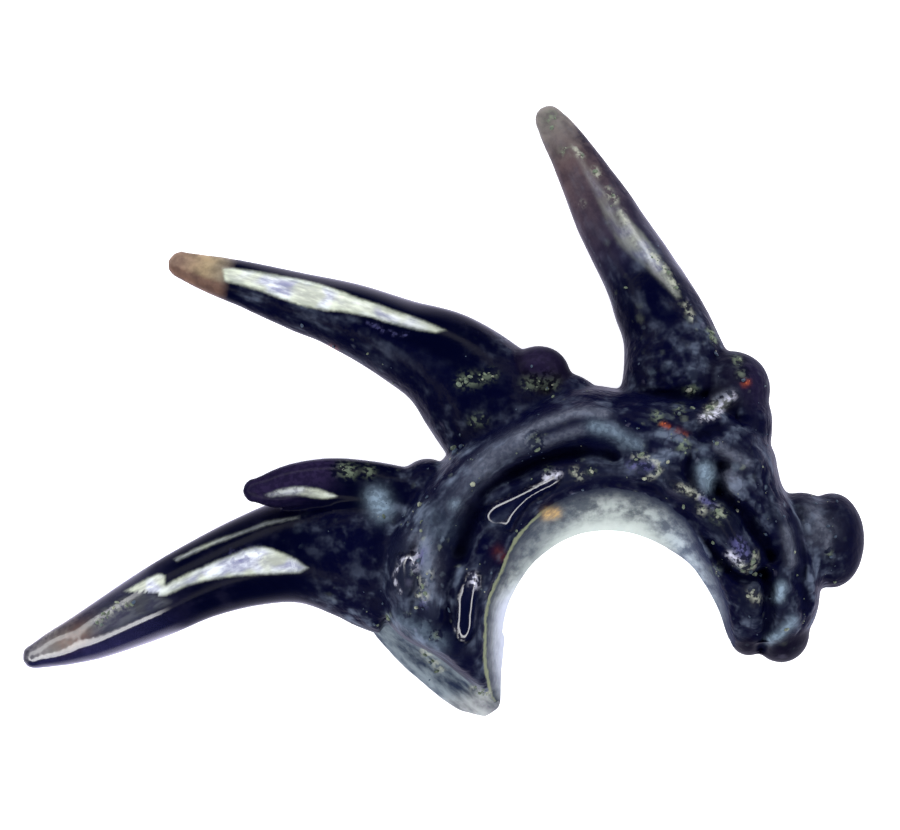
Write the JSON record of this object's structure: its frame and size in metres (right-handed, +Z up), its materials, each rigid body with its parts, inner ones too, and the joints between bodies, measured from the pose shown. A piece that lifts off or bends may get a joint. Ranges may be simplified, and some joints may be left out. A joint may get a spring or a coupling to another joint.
{
  "type": "fossil tooth whorl",
  "caption": "Black fossil fish tooth: an arched root with long curved fangs fanning out from its outer side, lying on its flank.",
  "frame": {"origin": "on the surface the tooth lies on, under the middle of its bounding box", "axes": "+X from the lower fang's tip towards the side knob, +Y from the arch's open side to its crown, +Z up from the surface"},
  "size_m": [0.008, 0.0058, 0.0018],
  "materials": {
    "enamel": "glossy blue-black enameloid, brown and translucent at the fang tips, with a duller grainy root"
  },
  "bodies": {
    "root": {"tooth": "enamel"}
  },
  "joints": []
}
